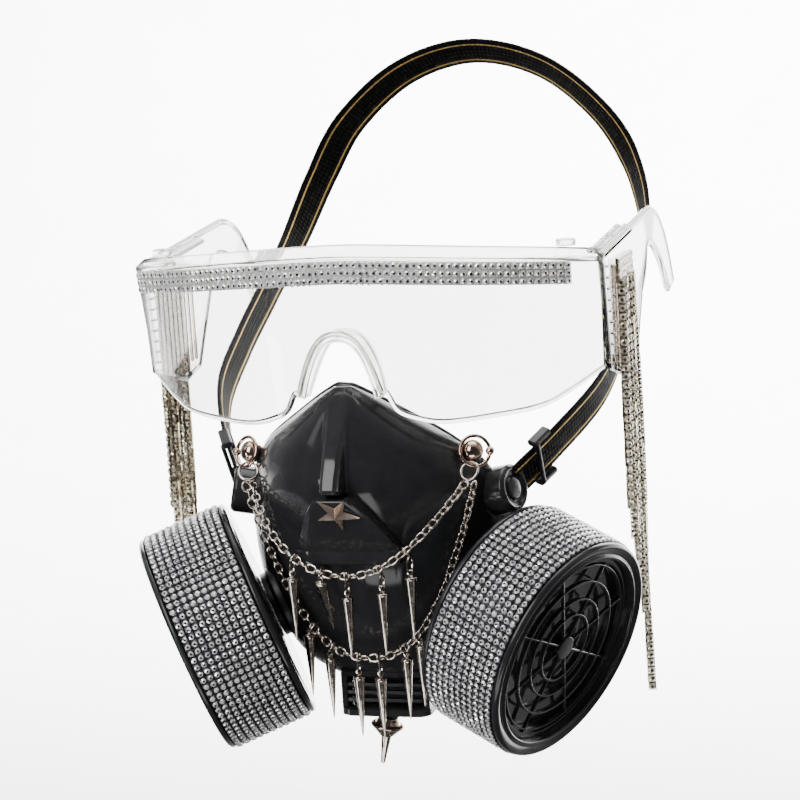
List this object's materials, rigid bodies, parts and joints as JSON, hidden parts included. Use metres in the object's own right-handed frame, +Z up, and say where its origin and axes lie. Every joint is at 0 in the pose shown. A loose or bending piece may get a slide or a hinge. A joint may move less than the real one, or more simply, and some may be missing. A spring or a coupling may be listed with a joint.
{
  "type": "gas mask style costume mask",
  "caption": "Black half-mask costume respirator with rhinestone cartridges, chains of spikes and clear crystal-edged goggles.",
  "frame": {"origin": "bridge of the nose, where the top of the mask's rim rests on the wearer's face", "axes": "+Z up, -Y the way the wearer looks, +X to the wearer's left"},
  "size_m": [0.1926, 0.2348, 0.2621],
  "materials": {
    "black_plastic": "polished black moulded plastic",
    "clear_plastic": "clear polycarbonate, polished edges",
    "nickel": "polished warm nickel plate",
    "bronze": "dull rose bronze plate",
    "crystal_mesh": "rows of clear foil-backed crystals in dark metal cups",
    "gold_crystal_mesh": "strands of champagne crystals in gold-tinted metal cups",
    "elastic": "black woven elastic with two gold threads"
  },
  "bodies": {
    "root": {"face_shell": "black_plastic", "nose_panel": "black_plastic", "vent_housing": "black_plastic", "cartridge_body_left": "black_plastic", "cartridge_body_right": "black_plastic", "cartridge_grille_left": "black_plastic", "cartridge_grille_right": "black_plastic", "stone_sleeve_left": "crystal_mesh", "stone_sleeve_right": "crystal_mesh", "filter_port_left": "black_plastic", "filter_port_right": "black_plastic", "strap_lug_left": "black_plastic", "strap_lug_right": "black_plastic", "head_strap": "elastic", "strap_buckle_left": "black_plastic", "strap_buckle_right": "black_plastic", "cheek_stud_left": "nickel", "cheek_stud_right": "nickel", "stud_ring_left": "nickel", "stud_ring_right": "nickel", "jump_ring_left": "nickel", "jump_ring_right": "nickel", "upper_chain": "nickel", "lower_chain": "nickel", "upper_spike_1": "nickel", "upper_spike_2": "nickel", "upper_spike_3": "nickel", "upper_spike_4": "nickel", "upper_spike_5": "nickel", "lower_spike_1": "nickel", "lower_spike_2": "nickel", "lower_spike_3": "nickel", "lower_spike_4": "nickel", "lower_spike_5": "nickel", "lower_spike_6": "nickel", "star_stud": "bronze", "chin_stud": "bronze", "goggle_lens": "clear_plastic", "side_arm_left": "clear_plastic", "side_arm_right": "clear_plastic", "hinge_boss_left": "clear_plastic", "hinge_boss_right": "clear_plastic", "front_strip": "crystal_mesh", "arm_strip_left": "crystal_mesh", "arm_strip_right": "crystal_mesh", "fringe_left": "gold_crystal_mesh", "fringe_right": "gold_crystal_mesh"}
  },
  "joints": []
}
